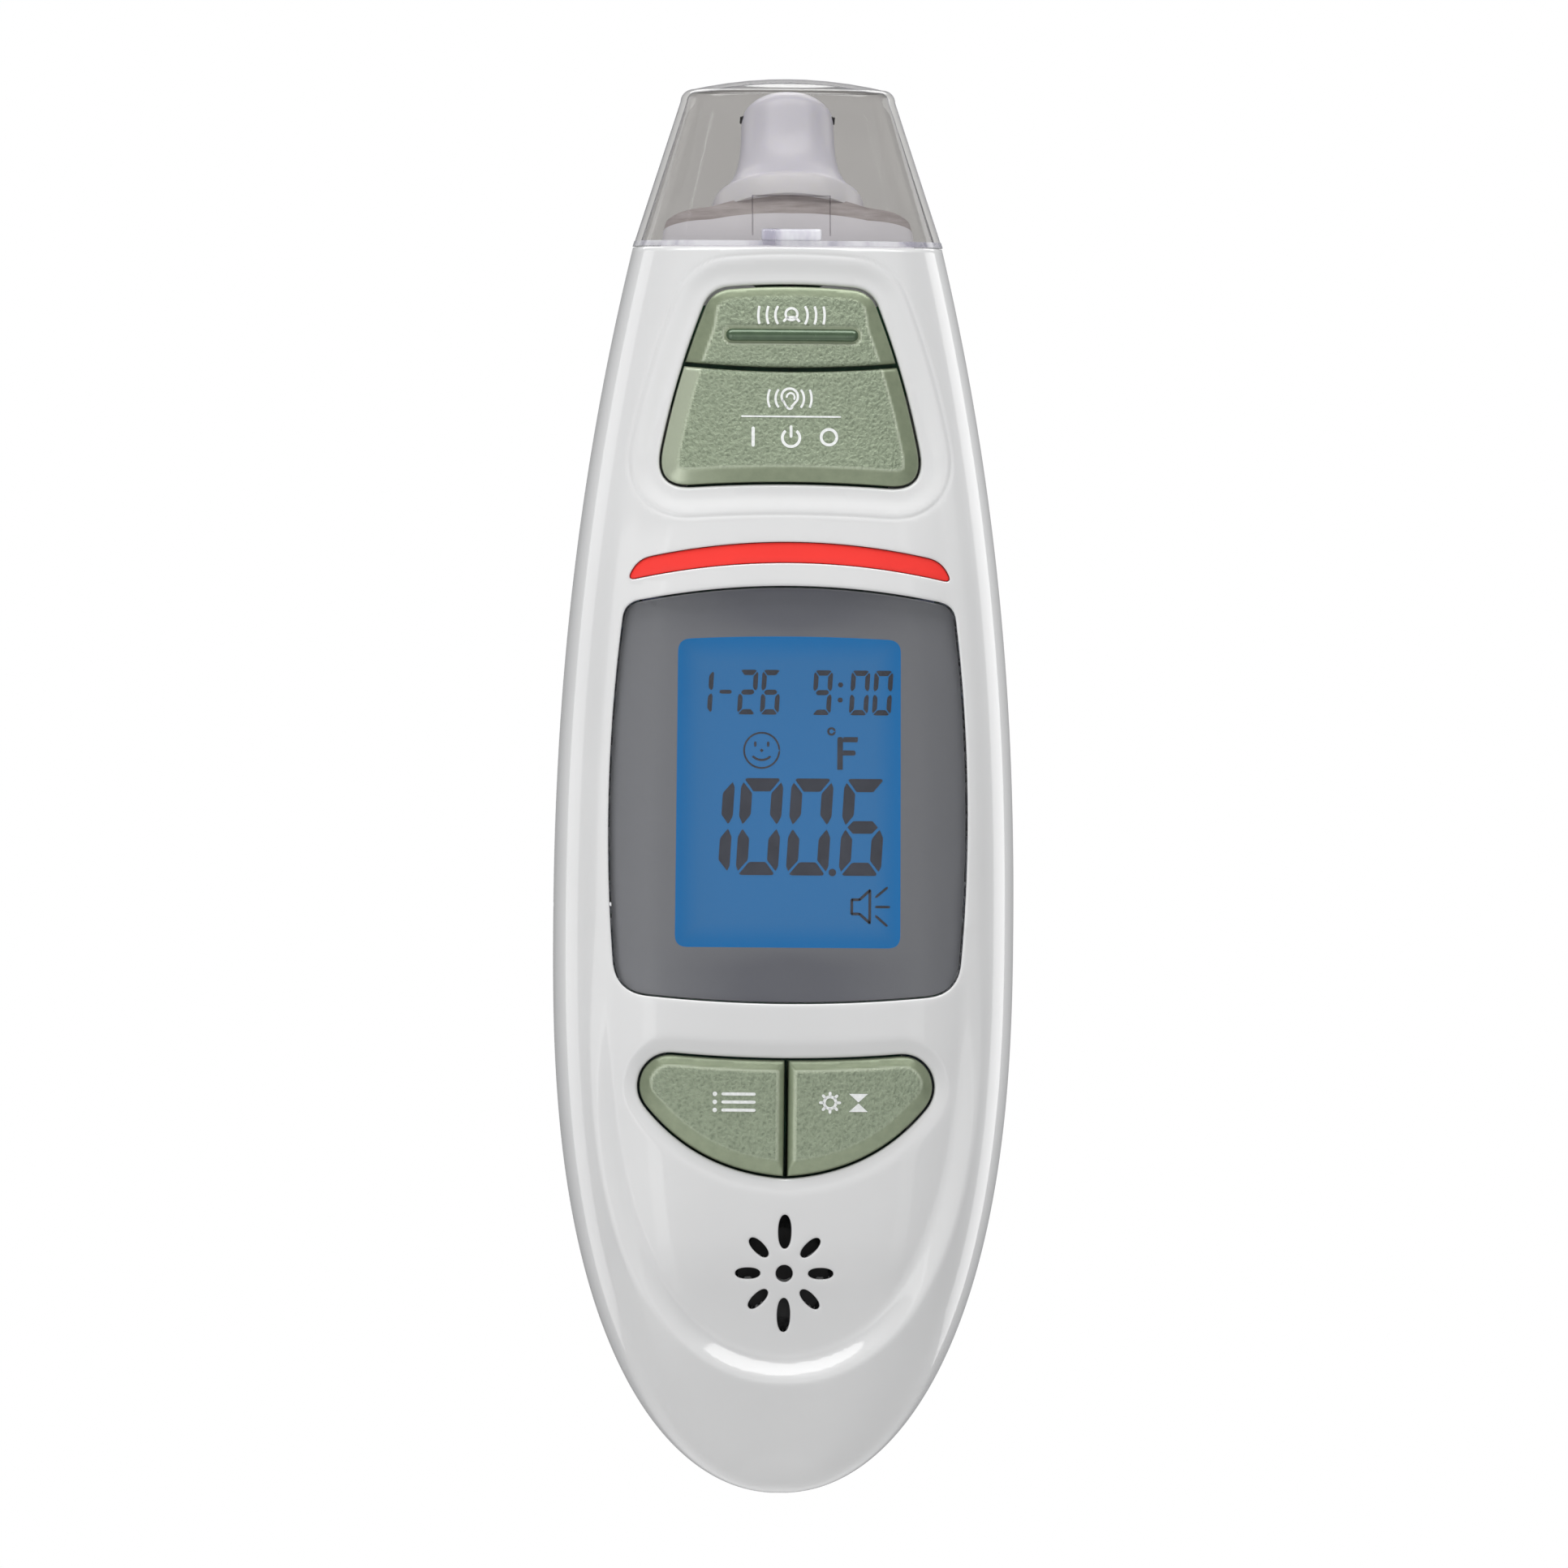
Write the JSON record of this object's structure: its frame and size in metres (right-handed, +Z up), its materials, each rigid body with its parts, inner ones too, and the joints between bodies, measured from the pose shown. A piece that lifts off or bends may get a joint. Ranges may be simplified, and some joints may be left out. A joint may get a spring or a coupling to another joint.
{
  "type": "digital ear and forehead thermometer",
  "caption": "Hand-held infrared ear and forehead thermometer with a tilted probe under a clear cap, keys, a backlit display and a sliding battery cover.",
  "frame": {"origin": "under the bottom tip, at the middle of the width and of the depth", "axes": "+Z up along the body towards the probe, the display faces -Y, +X to the right as the display is read"},
  "size_m": [0.0486, 0.0318, 0.1498],
  "materials": {
    "shell": "satin gloss",
    "key": "spark-eroded metallic",
    "clear": "clear polished plastic",
    "lens": "gloss",
    "red_light": "gloss",
    "lcd": "gloss",
    "white_inner": "matt",
    "probe": "satin",
    "board": "solder mask",
    "black_part": "matt",
    "foam": "matt",
    "steel": "plated",
    "gold": "gold-plated",
    "cell": "printed sleeve",
    "wire": "matt"
  },
  "bodies": {
    "body": {"front_housing": "shell", "rear_housing": "shell", "head_switch": "black_part", "ear_switch": "black_part", "memory_switch": "black_part", "set_switch": "black_part", "display_lens": "lens", "lens_tape": "foam", "lcd_glass": "lcd", "backlight_panel": "white_inner", "lcd_frame": "white_inner", "zebra_strip": "foam", "fever_light_window": "red_light", "fever_led_left": "white_inner", "fever_led_right": "white_inner", "circuit_board": "board", "controller_chip": "black_part", "sounder": "black_part", "sounder_gasket": "foam", "battery_bridge": "steel", "battery_contact_left": "steel", "battery_contact_right": "steel", "battery_spring_left": "steel", "battery_spring_right": "steel", "battery_left": "cell", "battery_right": "cell", "probe_base": "white_inner", "ear_probe": "probe", "waveguide_tube": "gold", "sensor_holder": "gold", "probe_window": "black_part", "thermopile_sensor": "steel", "sensor_board": "board", "sensor_cable": "wire", "upper_screw_left": "steel", "upper_screw_right": "steel", "lower_screw_left": "steel", "lower_screw_right": "steel"},
    "cap": {"probe_cap": "clear"},
    "cover": {"battery_cover": "shell"},
    "head_button": {"head_key": "key", "head_switch_plunger": "white_inner"},
    "ear_button": {"ear_key": "key", "ear_switch_plunger": "white_inner"},
    "memory_button": {"memory_key": "key", "memory_switch_plunger": "white_inner"},
    "set_button": {"set_key": "key", "set_switch_plunger": "white_inner"}
  },
  "joints": [
    {"name": "cap_lift", "type": "slide", "parent": "body", "child": "cap", "axis": [0, 0, 1], "range_m": [0, 0.03]},
    {"name": "cover_slide", "type": "slide", "parent": "body", "child": "cover", "axis": [0, 0, -1], "range_m": [0, 0.07]},
    {"name": "head_press", "type": "slide", "parent": "body", "child": "head_button", "axis": [0, 1, 0], "range_m": [0, 0.0005], "stiffness_N_per_m": 400},
    {"name": "ear_press", "type": "slide", "parent": "body", "child": "ear_button", "axis": [0, 1, 0], "range_m": [0, 0.0005], "stiffness_N_per_m": 400},
    {"name": "memory_press", "type": "slide", "parent": "body", "child": "memory_button", "axis": [0, 1, 0], "range_m": [0, 0.0005], "stiffness_N_per_m": 400},
    {"name": "set_press", "type": "slide", "parent": "body", "child": "set_button", "axis": [0, 1, 0], "range_m": [0, 0.0005], "stiffness_N_per_m": 400}
  ]
}
